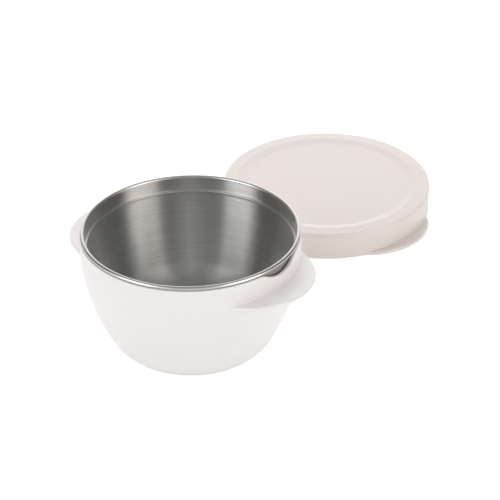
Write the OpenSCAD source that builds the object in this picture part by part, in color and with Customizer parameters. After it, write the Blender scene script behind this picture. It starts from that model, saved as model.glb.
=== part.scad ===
// Lidded bowl with a lift-out steel liner.
// The liner hangs by its rolled bead on the rim of a moulded shell, whose two ears
// stand out level with the lower edge of the lid when the lid is on.
// The lid lies beside the bowl, top up. +Z is up and the ears point along X.

/* [Rolled bead] */
// Radius of the circle through the middle of the bead
bead_circle_r = 57; // [56.5:0.25:57.5]
// Height of the middle of the bead above the table
bead_z = 66; // [64:0.5:70]
// Radius of the bead's own round section
bead_r = 1.1; // [1:0.05:1.2]

/* [Steel liner] */
// Thickness of the pressed steel sheet
steel_t = 0.5; // [0.4:0.05:0.6]
// Height of the ledge below the neck
ledge_z = 58.6; // [57:0.1:60]
// Width of the ledge
ledge_w = 1.2; // [0.8:0.1:1.6]
// Height of the liner's inside floor
liner_floor_z = 9.5; // [8:0.5:12]
// Radius of the bend between the liner's wall and floor
liner_bend_r = 16; // [12:1:18]

/* [Shell] */
// Outside radius of the shell's upright top
shell_r = 58.5; // [58.5:0.1:59]
// Height at which the shell's side stands upright
upright_z = 60; // [58:0.5:61]
// Radius of the side's long curve, seen from the side
side_curve_r = 108; // [100:1:120]
// Radius of the rounded lower corner
corner_r = 7; // [6.5:0.5:11]
// Thickness of the moulded wall
shell_t = 2; // [1.6:0.1:2.2]

/* [Foot] */
// Outside radius of the foot
foot_r = 39; // [37:0.5:40]
// Height of the shell's underside above the table
foot_h = 2.2; // [2:0.1:3]
// Width of the moulded foot
foot_w = 4.4; // [4:0.1:6]
// How far the grip ring stands below the moulded foot
ring_proud = 0.4; // [0.3:0.1:0.8]

/* [Ears] */
// Distance from the bowl's axis to the tip of an ear
ear_reach = 72.2; // [68:0.2:75]
// Radius of an ear's outline, seen from above
ear_round = 34.5; // [30:0.5:38]
// Radius of the hollow curve that runs an ear into the side
ear_blend = 22; // [15:1:30]
// Height of an ear's top
ear_top_z = 52.9; // [50:0.1:53]
// Thickness of an ear
ear_t = 2.2; // [1.8:0.1:3]

/* [Finger notches] */
// Depth of a notch below the shell's rim
notch_depth = 4.9; // [4.6:0.1:6]
// Radius of the scooped bottom of a notch
notch_round = 24; // [20:1:30]
// Radius that eases a notch into the rim
notch_ease = 9; // [5:1:12]

/* [Lid] */
// Outside radius of the lid
lid_r = 60.6; // [60.4:0.1:62]
// Height of the lid
lid_h = 16.3; // [16:0.1:19]
// Thickness of the lid's skirt and top
lid_t = 1.7; // [1.4:0.1:1.8]
// Radius of the lid's rounded upper edge
lid_edge_r = 1.5; // [1:0.1:1.6]
// Radius of the sunk panel at its upper edge
panel_r = 53; // [50:0.5:53.5]
// Width of the slope down to the panel
panel_slope_w = 4.6; // [3:0.2:5]
// Depth of the sunk panel
panel_drop = 1.1; // [0.6:0.1:1.2]
// Distance of the shadow groove below the lid's top
groove_down = 2; // [1.8:0.1:2.4]
// Depth of the shadow groove
groove_d = 0.35; // [0.2:0.05:0.5]
// Distance from the lid's axis to the tip of its ear
lid_ear_reach = 67.4; // [65:0.2:72]
// Radius of the lid ear's outline, seen from above
lid_ear_round = 36; // [32:0.5:40]
// Thickness of the lid's ear
lid_ear_t = 2.2; // [1.8:0.1:3]

/* [Where the lid lies] */
// Place of the lid's axis along X
lid_x = -15; // [-30:1:30]
// Place of the lid's axis along Y
lid_y = 157; // [125:1:180]
// Turn of the lid's ear from the X axis
lid_turn = -8; // [-45:1:45]

/* [Hidden] */
$fn = 96;

fit_gap = 0.3;                              // all round a lift-out piece
seat_gap = 0.1;                             // under the bead
shell_top_z = bead_z - bead_r - seat_gap;
neck_r = bead_circle_r - bead_r;            // inside of the liner's neck
shell_in_r = neck_r + steel_t + fit_gap;    // inside of the shell at its rim

side_x = shell_r - side_curve_r;            // middle of the side's long curve
corner_z = foot_h + corner_r;               // middle of the corner's curve
corner_reach = side_curve_r - corner_r;
corner_x = side_x + sqrt(pow(corner_reach, 2) - pow(upright_z - corner_z, 2));
corner_a = atan2(upright_z - corner_z, corner_x - side_x);

// The shell's outside radius halfway up an ear's edge
ear_mid_z = ear_top_z - ear_t / 2;
ear_wall_r = side_x + sqrt(pow(side_curve_r, 2) - pow(upright_z - ear_mid_z, 2));

// The liner's side curve runs parallel to the shell's, one air gap further in.
air_gap = shell_r - shell_t - (neck_r - ledge_w + steel_t);
liner_curve_r = side_curve_r - shell_t - air_gap;
bend_z = liner_floor_z + liner_bend_r;
bend_reach = liner_curve_r - liner_bend_r - steel_t;
bend_x = side_x + sqrt(pow(bend_reach, 2) - pow(upright_z - bend_z, 2));
bend_a = atan2(upright_z - bend_z, bend_x - side_x);

arc_steps = 10;
function arc(x, z, r, a0, a1, n = arc_steps) =
    [for (i = [0:n]) let (a = a0 + (a1 - a0) * i / n) [x + r * cos(a), z + r * sin(a)]];

// Outline of the shell at a distance t inside its outer face, from the rim downwards
function side_line(t) = concat(
    arc(side_x, upright_z, side_curve_r - t, 0, -corner_a),
    arc(corner_x, corner_z, corner_r - t, -corner_a, -90));

// Outline of the liner at a distance t outside its inner face, from the ledge downwards
function liner_line(t) = concat(
    arc(side_x, upright_z, liner_curve_r - steel_t + t, -0.8, -bend_a),
    arc(bend_x, bend_z, liner_bend_r + t, -bend_a, -90));

// The outline of an ear: a round that runs into a wall of radius wall_r by hollow curves
module ear_outline(wall_r, reach, round_r, blend_r, inner_r) {
    middle = reach - round_r;
    a = wall_r + blend_r;
    b = round_r + blend_r;
    x = (pow(a, 2) - pow(b, 2) + pow(middle, 2)) / (2 * middle);
    y = sqrt(pow(a, 2) - pow(x, 2));
    difference() {
        union() {
            translate([middle, 0]) circle(r = round_r);
            difference() {
                polygon([[0, 0], [x, -y], [middle, 0], [x, y]]);
                for (side = [-1, 1])
                    translate([x, side * y]) circle(r = blend_r);
            }
        }
        circle(r = inner_r);
    }
}

// The shape of a finger notch, seen along the ear's axis: Y across, then height
module notch_outline() {
    middle = notch_round - notch_depth;
    ease_y = sqrt(pow(notch_round + notch_ease, 2) - pow(middle + notch_ease, 2));
    ease_a = atan2(middle + notch_ease, ease_y);
    polygon(concat(
        [[ease_y, notch_depth], [-ease_y, notch_depth]],
        arc(-ease_y, -notch_ease, notch_ease, 90, ease_a),
        arc(0, middle, notch_round, 180 + ease_a, 360 - ease_a),
        arc(ease_y, -notch_ease, notch_ease, 180 - ease_a, 90)));
}

module outer_shell() color([0.91, 0.895, 0.89]) {
    side_out = side_line(0);
    side_in = side_line(shell_t);
    foot_in_r = foot_r - foot_w;
    difference() {
        union() {
            rotate_extrude()
                polygon(concat(
                    [[shell_r, shell_top_z]],
                    side_out,
                    [[foot_r, foot_h], [foot_r, ring_proud], [foot_in_r, ring_proud],
                     [foot_in_r, foot_h], [0, foot_h], [0, foot_h + shell_t]],
                    [for (i = [len(side_in) - 1:-1:0]) side_in[i]],
                    [[shell_r - shell_t, upright_z - 2], [shell_in_r, upright_z],
                     [shell_in_r, shell_top_z]]));
            for (side = [0, 180])
                rotate([0, 0, side])
                    translate([0, 0, ear_top_z - ear_t])
                        linear_extrude(ear_t)
                            ear_outline(ear_wall_r, ear_reach, ear_round, ear_blend,
                                        ear_wall_r - shell_t / 2);
        }
        // one cut makes the notch over each ear
        translate([0, 0, shell_top_z])
            rotate([90, 0, 90])
                linear_extrude(4 * shell_r, center = true) notch_outline();
        // channel for the grip ring
        translate([0, 0, -1]) difference() {
            cylinder(r = foot_r - foot_w / 4, h = 1 + foot_h - ring_proud);
            cylinder(r = foot_in_r + foot_w / 4, h = 1 + foot_h - ring_proud);
        }
    }
}

module steel_liner() color([0.62, 0.61, 0.6]) {
    line_in = liner_line(0);
    line_out = liner_line(steel_t);
    wall_x = neck_r - ledge_w;
    rotate_extrude()
        union() {
            polygon(concat(
                [[neck_r, bead_z], [neck_r, ledge_z + 0.4], [neck_r - 0.4, ledge_z]],
                [[wall_x, ledge_z - 0.2]],
                line_in,
                [[0, liner_floor_z], [0, liner_floor_z - steel_t]],
                [for (i = [len(line_out) - 1:-1:0]) line_out[i]],
                [[wall_x + steel_t, ledge_z - 0.6], [neck_r + steel_t, ledge_z - 0.1],
                 [neck_r + steel_t, bead_z]]));
            translate([bead_circle_r, bead_z]) difference() {
                circle(r = bead_r, $fn = 48);
                circle(r = bead_r - steel_t, $fn = 48);
            }
        }
}

module foot_ring() color([0.86, 0.85, 0.84])
    difference() {
        cylinder(r = foot_r - foot_w / 4, h = foot_h - ring_proud);
        translate([0, 0, -1]) cylinder(r = foot_r - foot_w * 3 / 4, h = foot_h + 1);
    }

// The lid is drawn at its own axis, and laid on the table beside the bowl.
module lie_beside() translate([lid_x, lid_y, 0]) rotate([0, 0, lid_turn]) children();

module lid_cover() color([0.9, 0.872, 0.85]) {
    top = lid_h;
    groove_z = top - groove_down;
    panel_in_r = panel_r - panel_slope_w;
    lie_beside() {
        rotate_extrude()
            polygon(concat(
                [[0, top - panel_drop], [panel_in_r, top - panel_drop], [panel_r, top]],
                arc(lid_r - lid_edge_r, top - lid_edge_r, lid_edge_r, 90, 0, 6),
                [[lid_r, groove_z + groove_d], [lid_r - groove_d, groove_z],
                 [lid_r - 0.1, groove_z - groove_d], [lid_r - 0.1, 0],
                 [lid_r - lid_t, 0], [lid_r - lid_t, top - lid_t],
                 [panel_r, top - lid_t],
                 [panel_in_r, top - lid_t - panel_drop], [0, top - lid_t - panel_drop]]));
        linear_extrude(lid_ear_t)
            ear_outline(lid_r, lid_ear_reach, lid_ear_round, ear_blend, lid_r - lid_t / 2);
    }
}

// The seal lies under the lid's flat rim, where it meets the bead when the lid is on.
seal_t = 1;
module lid_seal() color([0.93, 0.93, 0.92])
    lie_beside()
        translate([0, 0, lid_h - lid_t - seal_t])
            difference() {
                cylinder(r = lid_r - lid_t, h = seal_t);
                translate([0, 0, -1]) cylinder(r = panel_r + 0.5, h = seal_t + 2);
            }

outer_shell();
steel_liner();
foot_ring();
lid_cover();
lid_seal();
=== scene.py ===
"""Lidded bowl with a lift-out steel liner: finished meshes, materials, light and camera.

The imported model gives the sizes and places. Lengths are in metres.
"""
import math

import bmesh
import bpy
from mathutils import Matrix, Vector


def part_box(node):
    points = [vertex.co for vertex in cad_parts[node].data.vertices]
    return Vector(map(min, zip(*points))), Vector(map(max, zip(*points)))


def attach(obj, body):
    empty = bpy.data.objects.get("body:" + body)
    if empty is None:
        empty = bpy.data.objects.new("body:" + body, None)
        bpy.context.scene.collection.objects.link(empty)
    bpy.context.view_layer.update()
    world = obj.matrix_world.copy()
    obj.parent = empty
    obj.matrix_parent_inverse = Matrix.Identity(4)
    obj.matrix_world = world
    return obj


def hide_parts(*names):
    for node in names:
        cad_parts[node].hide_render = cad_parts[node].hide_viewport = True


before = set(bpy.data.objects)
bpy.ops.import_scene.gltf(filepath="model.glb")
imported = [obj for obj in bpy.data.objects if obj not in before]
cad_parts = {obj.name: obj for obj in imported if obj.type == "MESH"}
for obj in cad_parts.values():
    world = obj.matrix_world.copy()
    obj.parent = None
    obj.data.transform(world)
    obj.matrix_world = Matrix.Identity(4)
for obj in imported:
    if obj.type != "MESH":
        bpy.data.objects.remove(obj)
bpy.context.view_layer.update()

MM = 0.001
TURN_STEPS = 360                # segments round a turned piece

# ---------------------------------------------------------------- sizes

shell_low, shell_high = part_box("outer_shell")
liner_low, liner_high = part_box("steel_liner")
ring_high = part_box("foot_ring")[1]
lid_low, lid_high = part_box("lid_cover")
seal_low, seal_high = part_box("lid_seal")

SHELL_R = shell_high.y
SHELL_TOP = shell_high.z
SHELL_T = 2.0 * MM              # moulded wall
UPRIGHT_Z = 60 * MM             # above this height the side is upright
SIDE_CURVE_R = 108 * MM         # the side's long curve, seen from the side
SIDE_X = SHELL_R - SIDE_CURVE_R
CORNER_R = 7 * MM
FOOT_R = 39 * MM
FOOT_W = 4.4 * MM
FOOT_H = 2.2 * MM
FOOT_LOW = shell_low.z
EASE = 0.4 * MM                 # the small round on a moulded edge

EAR_REACH = shell_high.x
EAR_ROUND = 34.5 * MM
EAR_BLEND = 22 * MM
EAR_TOP = 52.9 * MM
EAR_T = 2.2 * MM
EAR_FILLET = 0.9 * MM           # the hollow round where an ear meets the side
EAR_RISE = 2.2 * MM             # an ear has its full section once it reaches out this far
GATE_R = 1.4 * MM               # the mark of the mould's gate, under the shell
GATE_D = 0.2 * MM
RIM_SLACK = 0.3 * MM            # between the shell's rim and the liner's neck
RIM_RIGID = 1.5 * MM            # the top of the rim drops into a notch without changing shape

NOTCH_DEPTH = 4.9 * MM
NOTCH_ROUND = 24 * MM
NOTCH_EASE = 9 * MM             # the round that eases a notch into the rim

STEEL_T = 0.5 * MM
BEAD_R = 1.1 * MM
BEAD_RING = liner_high.x - BEAD_R
BEAD_Z = liner_high.z - BEAD_R
NECK_R = BEAD_RING - BEAD_R
LEDGE_Z = 58.6 * MM
LEDGE_W = 1.2 * MM
BEND_R = 16 * MM
FLOOR_Z = liner_low.z + STEEL_T

LID_AXIS = (seal_low + seal_high) / 2
LID_R = (lid_high.y - lid_low.y) / 2
LID_TOP = lid_high.z
LID_T = 1.7 * MM
LID_TURN = math.radians(-8)
PANEL_R = 53 * MM               # the sunk panel on top of the lid, at its upper edge
PANEL_SLOPE = 4.6 * MM
PANEL_DROP = 1.1 * MM
RIM_FALL = 0.25 * MM            # how far the lid's flat rim falls towards its edge
GROOVE_DOWN = 2 * MM            # the shadow groove below the lid's top
GROOVE_D = 0.35 * MM
LID_EAR_REACH = 67.4 * MM
LID_EAR_ROUND = 36 * MM
LID_EAR_T = 2.2 * MM
LID_EAR_FILLET = 0.7 * MM


# ---------------------------------------------------------------- outlines

def arc(x, z, r, start, end, steps=8):
    """Points on a round, from one angle to another, in degrees."""
    turns = [math.radians(start + (end - start) * i / steps) for i in range(steps + 1)]
    return [(x + r * math.cos(a), z + r * math.sin(a)) for a in turns]


def eased(corners, closed=False):
    """An outline whose corners (x, z, radius) are rounded; a plain (x, z) stays sharp."""
    line = []
    count = len(corners)
    for i, corner in enumerate(corners):
        here = Vector(corner[:2])
        radius = corner[2] if len(corner) > 2 else 0
        if not radius or (not closed and i in (0, count - 1)):
            line.append(tuple(here))
            continue
        back = Vector(corners[i - 1][:2]) - here
        ahead = Vector(corners[(i + 1) % count][:2]) - here
        room = min(back.length, ahead.length)
        back.normalize()
        ahead.normalize()
        half = back.angle(ahead) / 2
        cut = min(radius / math.tan(half), 0.45 * room)
        radius = cut * math.tan(half)
        centre = here + (back + ahead).normalized() * (radius / math.sin(half))
        first = here + back * cut - centre
        sweep = first.angle_signed(here + ahead * cut - centre)
        steps = max(2, round(abs(math.degrees(sweep)) / 12))
        hold = min(0.3 * cut, 0.04 * MM)
        line.append(tuple(here + back * (cut + hold)))
        for k in range(steps + 1):
            turned = Matrix.Rotation(-sweep * k / steps, 2) @ first
            line.append(tuple(centre + turned))
        line.append(tuple(here + ahead * (cut + hold)))
    return line


def side_x_at(z, inset=0):
    """Radius of the shell's side at a height, so far inside its outer face."""
    drop = UPRIGHT_Z - z
    return SIDE_X + math.sqrt((SIDE_CURVE_R - inset) ** 2 - drop ** 2)


def side_points(low, high, count, inset=0):
    heights = [low + (high - low) * i / count for i in range(count + 1)]
    return [(side_x_at(z, inset), z) for z in heights]


def ear_distance(turn, wall_r, tip, round_r, blend_r):
    """Distance from the axis to an ear's edge, at an angle from the ear's middle."""
    middle = tip - round_r
    a = wall_r + blend_r
    b = round_r + blend_r
    x = (a ** 2 - b ** 2 + middle ** 2) / (2 * middle)
    y = math.sqrt(a ** 2 - x ** 2)
    end = math.atan2(y, x)
    if turn >= end:
        return wall_r
    if turn <= math.atan2(y * round_r / b, middle + (x - middle) * round_r / b):
        return middle * math.cos(turn) + math.sqrt(round_r ** 2 - (middle * math.sin(turn)) ** 2)
    return a * math.cos(turn - end) - math.sqrt(blend_r ** 2 - (a * math.sin(turn - end)) ** 2)


def notch_depth_at(y):
    """How far a finger notch takes the rim down, at a distance from its middle."""
    y = abs(y)
    middle = NOTCH_ROUND - NOTCH_DEPTH
    ease_y = math.sqrt((NOTCH_ROUND + NOTCH_EASE) ** 2 - (middle + NOTCH_EASE) ** 2)
    if y >= ease_y:
        return 0
    if y <= ease_y * NOTCH_ROUND / (NOTCH_ROUND + NOTCH_EASE):
        return math.sqrt(NOTCH_ROUND ** 2 - y ** 2) - middle
    return NOTCH_EASE - math.sqrt(NOTCH_EASE ** 2 - (ease_y - y) ** 2)


def smooth(t):
    t = min(max(t, 0), 1)
    return t * t * (3 - 2 * t)


# ---------------------------------------------------------------- mesh work

def turned(outline, closed=False):
    """A mesh turned from an outline; each point remembers its place along the outline."""
    mesh = bmesh.new()
    place = mesh.verts.layers.int.new("place")
    points = []
    for i, (r, z) in enumerate(outline):
        point = mesh.verts.new((r, 0, z))
        point[place] = i
        points.append(point)
    pairs = list(zip(points, points[1:]))
    if closed:
        pairs.append((points[-1], points[0]))
    edges = [mesh.edges.new(pair) for pair in pairs]
    bmesh.ops.spin(mesh, geom=points + edges, cent=(0, 0, 0), axis=(0, 0, 1),
                   angle=2 * math.pi, steps=TURN_STEPS, use_merge=True)
    bmesh.ops.remove_doubles(mesh, verts=mesh.verts, dist=1e-7)
    bmesh.ops.recalc_face_normals(mesh, faces=mesh.faces)
    return mesh


def finish_piece(mesh, name, node, body, materials):
    """Turns a mesh into the piece that stands for a CAD node."""
    for face in mesh.faces:
        face.smooth = True
    data = bpy.data.meshes.new(name)
    mesh.to_mesh(data)
    mesh.free()
    piece = bpy.data.objects.new(name, data)
    bpy.context.scene.collection.objects.link(piece)
    for material in materials:
        data.materials.append(material)
    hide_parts(node)
    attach(piece, body)
    return piece


def ear_section(reach, low, high, fillet):
    """The edge of an ear that reaches so far: (distance from the side, height), upwards."""
    edge_r = (high - low) / 2
    full = max(reach, fillet + edge_r + 0.3 * MM)
    flat = [fillet + (full - edge_r - fillet) * i / 3 for i in range(4)]
    line = arc(fillet, low - fillet, fillet, 180, 90, 5)
    line += [(x, low) for x in flat[1:-1]]
    line += arc(full - edge_r, (low + high) / 2, edge_r, -90, 90, 10)
    line += [(x, high) for x in reversed(flat[1:-1])]
    line += arc(fillet, high + fillet, fillet, 270, 180, 5)
    return [(x * reach / full, z) for x, z in line]


# ---------------------------------------------------------------- materials

def colour(text):
    """An sRGB hex colour as the linear colour that the shaders want."""
    parts = [int(text[i:i + 2], 16) / 255 for i in (1, 3, 5)]
    return [p / 12.92 if p <= 0.04045 else ((p + 0.055) / 1.055) ** 2.4 for p in parts] + [1]


def add(tree, kind, inputs=None, **settings):
    """Adds a node; an input is given a value, or another node's output."""
    made = tree.nodes.new(kind)
    for name, value in settings.items():
        setattr(made, name, value)
    for name, value in (inputs or {}).items():
        if isinstance(value, bpy.types.NodeSocket):
            tree.links.new(value, made.inputs[name])
        else:
            made.inputs[name].default_value = value
    return made


def new_material(name):
    material = bpy.data.materials.new(name)
    material.use_nodes = True
    tree = material.node_tree
    tree.nodes.clear()
    return material, tree


def moulded(name, pale, deep, roughness, grain, ior):
    """Satin moulded plastic: a faint cloudiness in the colour and a fine even grain."""
    material, tree = new_material(name)
    place = add(tree, "ShaderNodeTexCoord").outputs["Object"]
    # the cloudiness of a moulding is 20 to 40 mm across
    cloud_size = 30 * MM
    cloud = add(tree, "ShaderNodeTexNoise",
                {"Vector": place, "Scale": 1 / cloud_size, "Detail": 3, "Roughness": 0.5})
    tint = add(tree, "ShaderNodeMix", {"Factor": cloud.outputs["Fac"], "A": colour(deep),
                                       "B": colour(pale)}, data_type="RGBA")
    # spark-eroded grain is about 0.1 mm across; drawn at 0.5 mm so that it shows
    grain_size = 0.5 * MM
    grain_depth = 0.02 * MM
    uneven = 0.04                       # how far the roughness strays
    fine = add(tree, "ShaderNodeTexNoise",
               {"Vector": place, "Scale": 1 / grain_size, "Detail": 2, "Roughness": 0.6})
    sheen = add(tree, "ShaderNodeMapRange",
                {"Value": fine.outputs["Fac"], "To Min": roughness - uneven,
                 "To Max": roughness + uneven})
    bump = add(tree, "ShaderNodeBump", {"Height": fine.outputs["Fac"], "Strength": grain,
                                        "Distance": grain_depth})
    shader = add(tree, "ShaderNodeBsdfPrincipled",
                 {"Base Color": tint.outputs["Result"], "Roughness": sheen.outputs["Result"],
                  "Normal": bump.outputs["Normal"], "IOR": ior})
    add(tree, "ShaderNodeOutputMaterial", {"Surface": shader.outputs["BSDF"]})
    return material


def stainless(name, pale, deep, roughness, brushed):
    """Stainless steel; where it is brushed, fine rings run round the piece's own axis."""
    material, tree = new_material(name)
    place = add(tree, "ShaderNodeTexCoord").outputs["Object"]
    split = add(tree, "ShaderNodeSeparateXYZ", {"Vector": place})
    across = add(tree, "ShaderNodeVectorMath", {0: place, 1: (1, 1, 0)}, operation="MULTIPLY")
    radius = add(tree, "ShaderNodeVectorMath", {0: across.outputs["Vector"]},
                 operation="LENGTH")
    turn = add(tree, "ShaderNodeMath", {0: split.outputs["Y"], 1: split.outputs["X"]},
               operation="ARCTAN2")
    # brush lines are about 0.15 mm apart; drawn at 0.8 mm, with finer ones in them, so that
    # they show
    spacing = 1 / (0.8 * MM)
    line_depth = 0.03 * MM
    uneven = 0.05                       # how far the roughness strays
    lines_r = add(tree, "ShaderNodeMath", {0: radius.outputs["Value"], 1: spacing},
                  operation="MULTIPLY")
    lines_z = add(tree, "ShaderNodeMath", {0: split.outputs["Z"], 1: spacing},
                  operation="MULTIPLY")
    rings = add(tree, "ShaderNodeCombineXYZ",
                {"X": lines_r.outputs["Value"], "Y": turn.outputs["Value"],
                 "Z": lines_z.outputs["Value"]})
    streak = add(tree, "ShaderNodeTexNoise",
                 {"Vector": rings.outputs["Vector"], "Scale": 1, "Detail": 4,
                  "Roughness": 0.7})
    tint = add(tree, "ShaderNodeMix", {"Factor": streak.outputs["Fac"], "A": colour(deep),
                                       "B": colour(pale)}, data_type="RGBA")
    spread = add(tree, "ShaderNodeMapRange",
                 {"Value": streak.outputs["Fac"], "To Min": roughness - uneven,
                  "To Max": roughness + uneven})
    bump = add(tree, "ShaderNodeBump",
               {"Height": streak.outputs["Fac"], "Strength": 0.4 if brushed else 0.02,
                "Distance": line_depth})
    inputs = {"Base Color": tint.outputs["Result"], "Metallic": 1,
              "Roughness": spread.outputs["Result"], "Normal": bump.outputs["Normal"]}
    if brushed:
        # lines that run round spread each reflection up and down the wall
        round_axis = add(tree, "ShaderNodeTangent", direction_type="RADIAL", axis="Z")
        inputs["Anisotropic"] = 1
        inputs["Anisotropic Rotation"] = 0.25
        inputs["Tangent"] = round_axis.outputs["Tangent"]
    shader = add(tree, "ShaderNodeBsdfPrincipled", inputs)
    add(tree, "ShaderNodeOutputMaterial", {"Surface": shader.outputs["BSDF"]})
    return material


# polypropylene from a finely textured mould: soft, even, nearly white, with a broad low sheen
shell_plastic = moulded("satin_polypropylene", "#E6E2E1", "#E3DFDE", 0.34, 0.12, 1.49)
# the same plastic, tinted: a shade warmer and darker, so the lid reads apart from the bowl
lid_plastic = moulded("tinted_polypropylene", "#DDD4CE", "#DAD0CB", 0.32, 0.1, 1.49)
# moulded elastomer: quite matt, so that the ring shows only as a soft grey line
grip_rubber = moulded("matt_elastomer", "#DAD7D4", "#D5D2CF", 0.75, 0.3, 1.5)
# pressed silicone: white, with a dull bloom
seal_silicone = moulded("white_silicone", "#E2E1DD", "#DDDCD8", 0.6, 0.2, 1.41)
# stainless sheet brushed on a lathe: upright streaks of light over fine rings
brushed_steel = stainless("brushed_stainless", "#DFDFDD", "#B2B1B0", 0.34, True)
# stainless rolled smooth: thin clean lines of light along the bead and the ledge
polished_steel = stainless("polished_stainless", "#C8C6C2", "#C2C0BC", 0.3, False)
# stainless as it leaves the press, with hardly any shine; its even grey is darker than the real
# steel's, which is painted shade so that the gap in each finger notch reads dark
drawn_steel_with_painted_shade = stainless("drawn_stainless_with_painted_shade", "#A09E99", "#93918C", 0.35, False)


# ---------------------------------------------------------------- the pieces

def make_shell():
    """The moulded shell: foot, side, two ears, and a rim with two finger notches."""
    corner_z = FOOT_H + CORNER_R
    corner_x = SIDE_X + math.sqrt((SIDE_CURVE_R - CORNER_R) ** 2 - (UPRIGHT_Z - corner_z) ** 2)
    corner_end = -math.degrees(math.atan2(UPRIGHT_Z - corner_z, corner_x - SIDE_X))
    foot_meets = -math.degrees(math.acos((FOOT_R - corner_x) / CORNER_R))
    foot_in = FOOT_R - FOOT_W
    ring_in = foot_in + FOOT_W / 4
    ring_out = FOOT_R - FOOT_W / 4
    ring_top = ring_high.z

    corner = arc(corner_x, corner_z, CORNER_R, foot_meets, corner_end, 10)
    lower = eased([(0, FOOT_H + GATE_D), (GATE_R, FOOT_H + GATE_D, GATE_D / 2),
                   (GATE_R + 1.4 * GATE_D, FOOT_H, GATE_D / 2), (foot_in, FOOT_H, EASE),
                   (foot_in, FOOT_LOW, EASE), (ring_in, FOOT_LOW, EASE / 2),
                   (ring_in, ring_top, EASE / 4), (ring_out, ring_top, EASE / 4),
                   (ring_out, FOOT_LOW, EASE / 2), (FOOT_R, FOOT_LOW, EASE),
                   (*corner[0], EASE), corner[1]])
    lower += corner[2:]
    ear_low = EAR_TOP - EAR_T
    band_low = ear_low - EAR_FILLET
    band_high = EAR_TOP + EAR_FILLET
    lower += side_points(corner[-1][1], band_low, 22)[1:-1]
    section = ear_section(EAR_REACH, ear_low, EAR_TOP, EAR_FILLET)
    band = side_points(band_low, band_high, len(section) - 1)

    rim_in = NECK_R + STEEL_T + RIM_SLACK
    upper = side_points(band_high, UPRIGHT_Z, 4)[1:]
    upper += eased([(SHELL_R, UPRIGHT_Z + MM), (SHELL_R, SHELL_TOP, EASE),
                    (rim_in, SHELL_TOP, EASE), (rim_in, UPRIGHT_Z, MM),
                    (side_x_at(UPRIGHT_Z - 2 * MM, SHELL_T), UPRIGHT_Z - 2 * MM)])
    inside_low = corner_z + (CORNER_R - SHELL_T) * math.sin(math.radians(corner_end))
    upper += side_points(UPRIGHT_Z - 2 * MM, inside_low, 20, SHELL_T)[1:-1]
    upper += arc(corner_x, corner_z, CORNER_R - SHELL_T, corner_end, -90, 10)
    upper.append((0, FOOT_H + SHELL_T))

    mesh = turned(lower + band + upper)
    place = mesh.verts.layers.int["place"]
    wall_r = side_x_at(EAR_TOP - EAR_T / 2)
    rigid_z = SHELL_TOP - RIM_RIGID
    for point in mesh.verts:
        x, y, z = point.co
        # pull the band round the side out into the two ears
        step = point[place] - len(lower)
        if 0 <= step < len(band):
            turn = math.atan2(abs(y), abs(x))
            reach = ear_distance(turn, wall_r, EAR_REACH, EAR_ROUND, EAR_BLEND) - wall_r
            if reach > 0:
                out, high = ear_section(reach, ear_low, EAR_TOP, EAR_FILLET)[step]
                share = smooth(reach / EAR_RISE)
                z = z + (high - z) * share
                r = side_x_at(z) + out
                scale = r / math.hypot(x, y)
                point.co = (x * scale, y * scale, z)
        # take the rim down into the two finger notches
        if z > band_high:
            share = smooth((z - band_high) / (rigid_z - band_high))
            point.co.z = z - notch_depth_at(y) * share
    return finish_piece(mesh, "bowl_shell", "outer_shell", "bowl",
                        [shell_plastic])


def make_liner():
    """The pressed liner: floor, bend, side, ledge, neck and rolled bead, then back outside."""
    bend_z = FLOOR_Z + BEND_R
    curve_r = (SIDE_CURVE_R - SHELL_T
               - (SHELL_R - SHELL_T - (NECK_R - LEDGE_W + STEEL_T)) - STEEL_T)
    bend_x = SIDE_X + math.sqrt((curve_r - BEND_R) ** 2 - (UPRIGHT_Z - bend_z) ** 2)
    bend_end = -math.degrees(math.atan2(UPRIGHT_Z - bend_z, bend_x - SIDE_X))
    lip = -math.degrees(math.asin((UPRIGHT_Z - LEDGE_Z + 1.2 * MM) / curve_r))

    inside = [(0, FLOOR_Z), (bend_x * 0.5, FLOOR_Z), (bend_x - MM, FLOOR_Z)]
    inside += arc(bend_x, bend_z, BEND_R, -90, bend_end, 24)
    side = arc(SIDE_X, UPRIGHT_Z, curve_r, bend_end, lip, 20)
    inside += side[1:]
    ledge_start = len(inside) - 1
    ledge_x = NECK_R - LEDGE_W
    inside += eased([side[-1], (ledge_x, LEDGE_Z, 0.5 * MM),
                     (NECK_R, LEDGE_Z + 0.1 * MM, 0.45 * MM), (NECK_R, BEAD_Z - 3 * MM)])[1:]
    ledge_end = len(inside) - 2
    bead_start = len(inside) + 1
    inside.append((NECK_R, BEAD_Z - 0.2 * MM))
    # the sheet rolls outwards and down, and stops short of the neck
    roll_end = -118
    roll = arc(BEAD_RING, BEAD_Z, BEAD_R, 180, roll_end, 30)
    roll += arc(BEAD_RING, BEAD_Z, BEAD_R - STEEL_T, roll_end, 180, 20)
    bead_end = len(inside) + len(roll)
    outer_r = curve_r + STEEL_T
    out_side = arc(SIDE_X, UPRIGHT_Z, outer_r, lip, bend_end, 20)
    outside = [(NECK_R + STEEL_T, BEAD_Z - 2 * MM)]
    outside += eased([(NECK_R + STEEL_T, BEAD_Z - 3 * MM),
                      (NECK_R + STEEL_T, LEDGE_Z - 0.3 * MM, 0.6 * MM),
                      (ledge_x + STEEL_T, LEDGE_Z - 0.7 * MM, 0.4 * MM), out_side[0]])
    outside += out_side[1:]
    outside += arc(bend_x, bend_z, BEND_R + STEEL_T, bend_end, -90, 24)[1:]
    outside.append((0, FLOOR_Z - STEEL_T))

    mesh = turned(inside + roll + outside)
    place = mesh.verts.layers.int["place"]
    # the ledge and the bead are polished; the outside is as it was drawn, in a grey darkened with
    # painted shade
    for face in mesh.faces:
        steps = [point[place] for point in face.verts]
        on_ledge = min(steps) >= ledge_start and max(steps) <= ledge_end
        if on_ledge or (min(steps) >= bead_start - 1 and max(steps) <= bead_end):
            face.material_index = 1
        elif min(steps) >= bead_end - 1:
            face.material_index = 2
    return finish_piece(mesh, "liner_bowl", "steel_liner", "liner",
                        [brushed_steel, polished_steel, drawn_steel_with_painted_shade])


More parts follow.
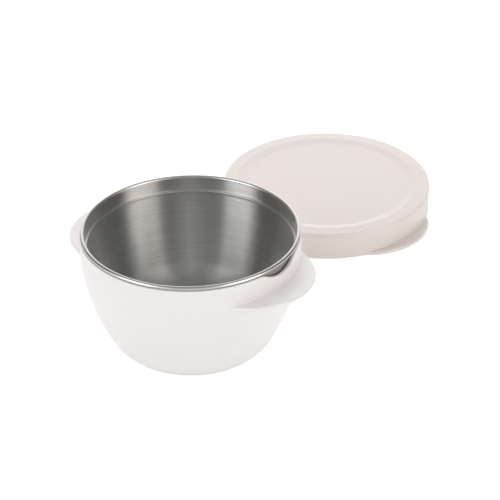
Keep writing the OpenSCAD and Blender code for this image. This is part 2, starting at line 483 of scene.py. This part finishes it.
def make_foot_ring():
    """The grip ring, which fills the channel in the foot and stands a little below it."""
    slack = 0.03 * MM                   # all round in its channel
    inner = FOOT_R - FOOT_W * 3 / 4 + slack
    outer = ring_high.x - slack
    top = ring_high.z - slack
    mesh = turned(eased([(inner, 0, EASE), (outer, 0, EASE), (outer, top, EASE / 4),
                         (inner, top, EASE / 4)], closed=True), closed=True)
    return finish_piece(mesh, "grip_ring", "foot_ring", "bowl", [grip_rubber])


def lay_lid(mesh):
    """Moves a lid piece from its own axis to its place on the table."""
    move = Matrix.Translation((LID_AXIS.x, LID_AXIS.y, 0)) @ Matrix.Rotation(LID_TURN, 4, "Z")
    bmesh.ops.transform(mesh, matrix=move, verts=mesh.verts)


def make_lid():
    """The lid: sunk panel, rim, shadow groove, skirt with its ear, and the hollow inside."""
    groove_z = LID_TOP - GROOVE_DOWN
    skirt_r = LID_R - 0.1 * MM
    inner_r = LID_R - LID_T
    panel_in = PANEL_R - PANEL_SLOPE
    under = LID_TOP - LID_T
    upper = eased([(0, LID_TOP - PANEL_DROP), (panel_in, LID_TOP - PANEL_DROP, 3 * MM),
                   (PANEL_R, LID_TOP, 1.2 * MM), (LID_R, LID_TOP - RIM_FALL, 1.5 * MM),
                   (LID_R, groove_z + GROOVE_D, 0.15 * MM),
                   (LID_R - GROOVE_D, groove_z, 0.15 * MM),
                   (skirt_r, groove_z - GROOVE_D, 0.2 * MM), (skirt_r, groove_z - 2 * MM)])
    band_top = LID_EAR_T + LID_EAR_FILLET
    upper += [(skirt_r, groove_z - 6 * MM)]
    # the skirt ends where the ear does, so the ear's lower hollow round is left out
    below = 6
    section = ear_section(LID_EAR_REACH, 0, LID_EAR_T, LID_EAR_FILLET)[below:]
    steps = len(section)
    # along the plain skirt the same points run down to its rounded lower edge
    straight = steps - 8
    band = [(skirt_r, EASE + (band_top - EASE) * (1 - i / straight)) for i in range(straight)]
    band += arc(skirt_r - EASE, EASE, EASE, 0, -90, 7)
    lower = eased([(skirt_r - 1.5 * EASE, 0), (inner_r, 0, EASE), (inner_r, under, EASE),
                   (PANEL_R, under, EASE), (panel_in, under - PANEL_DROP, MM),
                   (0, under - PANEL_DROP)])

    mesh = turned(upper + band + lower)
    place = mesh.verts.layers.int["place"]
    for point in mesh.verts:
        step = point[place] - len(upper)
        if 0 <= step < steps:
            x, y, z = point.co
            turn = abs(math.atan2(y, x))
            reach = ear_distance(turn, skirt_r, LID_EAR_REACH, LID_EAR_ROUND, EAR_BLEND) - skirt_r
            if reach > 0:
                # the section runs upwards and the skirt's outline downwards
                here = ear_section(reach, 0, LID_EAR_T, LID_EAR_FILLET)[below:]
                out, high = here[steps - 1 - step]
                share = smooth(reach / EAR_RISE)
                r = math.hypot(x, y)
                new_r = r + (skirt_r + out - r) * share
                point.co = (x * new_r / r, y * new_r / r, z + (high - z) * share)
    lay_lid(mesh)
    return finish_piece(mesh, "lid_moulding", "lid_cover", "lid", [lid_plastic])


def make_seal():
    """The ring under the lid's rim, with a lip that meets the bead."""
    inner = PANEL_R + 0.6 * MM
    outer = LID_R - LID_T - 0.1 * MM
    top = seal_high.z - 0.02 * MM
    web = top - 0.6 * MM
    low = seal_low.z
    lip = BEAD_RING
    mesh = turned(eased([(inner, top, 0.15 * MM), (outer, top, 0.15 * MM), (outer, web, 0.2 * MM),
                         (lip + 0.9 * MM, web, 0.2 * MM), (lip + 0.4 * MM, low, 0.2 * MM),
                         (lip - 0.4 * MM, low, 0.2 * MM), (lip - 0.9 * MM, web, 0.2 * MM),
                         (inner, web, 0.2 * MM)], closed=True), closed=True)
    lay_lid(mesh)
    return finish_piece(mesh, "lid_gasket", "lid_seal", "lid", [seal_silicone])


make_shell()
make_liner()
make_foot_ring()
make_lid()
make_seal()


# ---------------------------------------------------------------- camera

CAMERA_TURN = math.radians(34.5)
CAMERA_RISE = math.radians(31.39)
CAMERA_ROLL = math.radians(-0.53)
CAMERA_AIM = Vector((3.8, 49.6, 30)) * MM
CAMERA_AWAY = 1234 * MM
LENS = 162                      # millimetres, on a 36 mm sensor


def place_camera():
    """Looks down at the bowl and the lid through a long lens."""
    data = bpy.data.cameras.new("camera")
    data.lens = LENS
    data.sensor_width = 36
    data.clip_end = 50
    camera = bpy.data.objects.new("camera", data)
    bpy.context.scene.collection.objects.link(camera)
    back = Vector((math.sin(CAMERA_TURN) * math.cos(CAMERA_RISE),
                   -math.cos(CAMERA_TURN) * math.cos(CAMERA_RISE), math.sin(CAMERA_RISE)))
    camera.rotation_mode = "QUATERNION"
    camera.location = CAMERA_AIM + back * CAMERA_AWAY
    level = (-back).to_track_quat("-Z", "Y").to_matrix()
    camera.rotation_quaternion = (level @ Matrix.Rotation(CAMERA_ROLL, 3, "Z")).to_quaternion()
    bpy.context.scene.camera = camera


# ---------------------------------------------------------------- studio

ROOM_LIGHT = 0.69               # the even white light of the room, on matt surfaces
ROOM_SHINE = 0.31               # the same room as a shiny surface mirrors it
FLOOR_GLOW = 0.2                # what the lit table gives off
FLOOR_WHITE = 0.45              # the same, as the camera sees it
KEY_POWER = 13.0                # watts; the key light stands behind the bowl, high up
KEY_TURN = 180                  # degrees to the left of the camera
KEY_RISE = 45                   # degrees up
KEY_SIDE = 1.2
PANEL_POWER = 10.5              # watts; the two tall soft panels in front
PANEL_TURNS = (-56, 56)
PANEL_RISE = 15
PANEL_WIDE = 0.8
PANEL_TALL = 1.6
LIGHT_AWAY = 2.0                # every light's distance from the bowl
WALL_R = 3.0
WALL_H = 6.0
WALL_STEPS = 90
WALL_FADE = 2.8                 # the height at which the panels have faded
WALL_FADE_POWER = 0.6           # below 1, so most of the fading is low down
FLOOR_HALF = 20.0
FLOOR_DROP = 0.1 * MM           # so that the floor doesn't share the foot's face
PLAIN = (1, 1, 1, 1)
WARM = (1.05, 1, 0.93, 1)
COOL = (0.97, 1, 1.04, 1)
WALL_DIM = 0.15                 # the unlit wall
# What stands along the studio's wall, as a shiny surface mirrors it. Angles are in degrees to
# the left of the camera: its middle, half its width, and its soft edge; then its brightness at
# the floor and high up, and its tint.
STUDIO = {"pale backdrop": (180, 28, 12, 2.3, 0.9, PLAIN),
          "right panel": (-54, 11, 12, 9.0, 0.4, WARM),
          "left panel": (55, 10, 12, 9.5, 0.5, PLAIN),
          "dim gap between the panels": (0, 40, 12, 0.25, 0.2, PLAIN),
          "right panel's spill": (-32, 6, 2, 0.5, 0.1, COOL),
          "left panel's spill": (33, 9, 2, 0.6, 0.2, COOL),
          "window in the gap": (-2, 1, 7, 0.6, 0.2, WARM)}


def stage_piece(name, mesh, material):
    data = bpy.data.meshes.new(name)
    mesh.to_mesh(data)
    mesh.free()
    data.materials.append(material)
    made = bpy.data.objects.new(name, data)
    bpy.context.scene.collection.objects.link(made)
    return made


def make_floor():
    """A lit white table; what the camera sees of it glows more than what it lights."""
    mesh = bmesh.new()
    bmesh.ops.create_grid(mesh, x_segments=1, y_segments=1, size=FLOOR_HALF)
    bmesh.ops.translate(mesh, verts=mesh.verts, vec=(0, 0, -FLOOR_DROP))
    material, tree = new_material("lit_table")
    seen = add(tree, "ShaderNodeLightPath").outputs["Is Camera Ray"]
    glow = add(tree, "ShaderNodeMapRange",
               {"Value": seen, "To Min": FLOOR_GLOW, "To Max": FLOOR_WHITE})
    shader = add(tree, "ShaderNodeBsdfPrincipled",
                 {"Base Color": colour("#EDEDED"), "Roughness": 0.9,
                  "Emission Color": (1, 1, 1, 1), "Emission Strength": glow.outputs["Result"]})
    add(tree, "ShaderNodeOutputMaterial", {"Surface": shader.outputs["BSDF"]})
    stage_piece("studio_floor", mesh, material)


def make_wall():
    """The studio's wall, which only reflections see."""
    mesh = bmesh.new()
    bmesh.ops.create_circle(mesh, radius=WALL_R, segments=WALL_STEPS)
    rim = bmesh.ops.extrude_edge_only(mesh, edges=mesh.edges[:])
    raised = [v for v in rim["geom"] if isinstance(v, bmesh.types.BMVert)]
    bmesh.ops.translate(mesh, verts=raised, vec=(0, 0, WALL_H))
    material, tree = new_material("studio_panels")
    place = add(tree, "ShaderNodeTexCoord").outputs["Object"]
    # turned so that the camera's side lies along +X
    spun = add(tree, "ShaderNodeMapping",
               {"Vector": place, "Rotation": (0, 0, math.pi / 2 - CAMERA_TURN)})
    split = add(tree, "ShaderNodeSeparateXYZ", {"Vector": spun.outputs["Vector"]})
    turn = add(tree, "ShaderNodeMath", {0: split.outputs["Y"], 1: split.outputs["X"]},
               operation="ARCTAN2")
    height = add(tree, "ShaderNodeMapRange",
                 {"Value": split.outputs["Z"], "From Max": WALL_FADE})
    fade = add(tree, "ShaderNodeMath", {0: height.outputs["Result"], 1: WALL_FADE_POWER},
               operation="POWER")
    glow = add(tree, "ShaderNodeEmission", {"Strength": WALL_DIM}).outputs["Emission"]
    for middle, half, edge, low, high, tint in STUDIO.values():
        # to the left of the camera is the negative way round the wall
        past = add(tree, "ShaderNodeMath",
                   {0: turn.outputs["Value"], 1: math.radians(middle)}, operation="ADD")
        wrapped = add(tree, "ShaderNodeMath",
                      {0: past.outputs["Value"], 1: math.pi, 2: -math.pi}, operation="WRAP")
        off = add(tree, "ShaderNodeMath", {0: wrapped.outputs["Value"]}, operation="ABSOLUTE")
        share = add(tree, "ShaderNodeMapRange",
                    {"Value": off.outputs["Value"], "From Min": math.radians(half + edge),
                     "From Max": math.radians(half)}, interpolation_type="SMOOTHSTEP")
        level = add(tree, "ShaderNodeMapRange",
                    {"Value": fade.outputs["Value"], "To Min": low, "To Max": high})
        lit = add(tree, "ShaderNodeMath",
                  {0: share.outputs["Result"], 1: level.outputs["Result"]},
                  operation="MULTIPLY")
        lamp = add(tree, "ShaderNodeEmission",
                   {"Color": tint, "Strength": lit.outputs["Value"]})
        both = add(tree, "ShaderNodeAddShader", {0: glow, 1: lamp.outputs["Emission"]})
        glow = both.outputs["Shader"]
    add(tree, "ShaderNodeOutputMaterial", {"Surface": glow})
    wall = stage_piece("studio_wall", mesh, material)
    wall.visible_camera = False
    wall.visible_diffuse = False
    wall.visible_shadow = False


def light_room():
    """An even white room, dimmer where a shiny surface mirrors it."""
    scene = bpy.context.scene
    scene.view_settings.view_transform = "Standard"
    world = bpy.data.worlds.new("white_studio")
    scene.world = world
    world.use_nodes = True
    tree = world.node_tree
    tree.nodes.clear()
    path = add(tree, "ShaderNodeLightPath")
    strength = add(tree, "ShaderNodeMapRange",
                   {"Value": path.outputs["Is Glossy Ray"], "To Min": ROOM_LIGHT,
                    "To Max": ROOM_SHINE})
    # past the table's edge the room itself looks white
    seen = add(tree, "ShaderNodeMapRange",
               {"Value": path.outputs["Is Camera Ray"],
                "To Min": strength.outputs["Result"], "To Max": 1.0})
    sky = add(tree, "ShaderNodeBackground",
              {"Color": (1, 1, 1, 1), "Strength": seen.outputs["Result"]})
    add(tree, "ShaderNodeOutputWorld", {"Surface": sky.outputs["Background"]})
    world.cycles.sampling_method = "NONE"


def soft_light(name, power, turn, rise, width, height):
    """A soft light aimed at the bowl; turn is in degrees to the left of the camera."""
    data = bpy.data.lights.new(name, "AREA")
    data.shape = "RECTANGLE"
    data.size = width
    data.size_y = height
    data.energy = power
    light = bpy.data.objects.new(name, data)
    bpy.context.scene.collection.objects.link(light)
    around = CAMERA_TURN - math.radians(turn)
    up = math.radians(rise)
    away = Vector((math.sin(around) * math.cos(up), -math.cos(around) * math.cos(up),
                   math.sin(up)))
    light.location = away * LIGHT_AWAY
    light.rotation_mode = "QUATERNION"
    light.rotation_quaternion = (-away).to_track_quat("-Z", "Y")
    # in reflections the studio wall stands for it
    light.visible_glossy = False


def place_lights():
    soft_light("key_light", KEY_POWER, KEY_TURN, KEY_RISE, KEY_SIDE, KEY_SIDE)
    for i, turn in enumerate(PANEL_TURNS):
        soft_light("soft_panel_%d" % (i + 1), PANEL_POWER, turn, PANEL_RISE, PANEL_WIDE,
                   PANEL_TALL)


place_camera()
make_floor()
make_wall()
light_room()
place_lights()
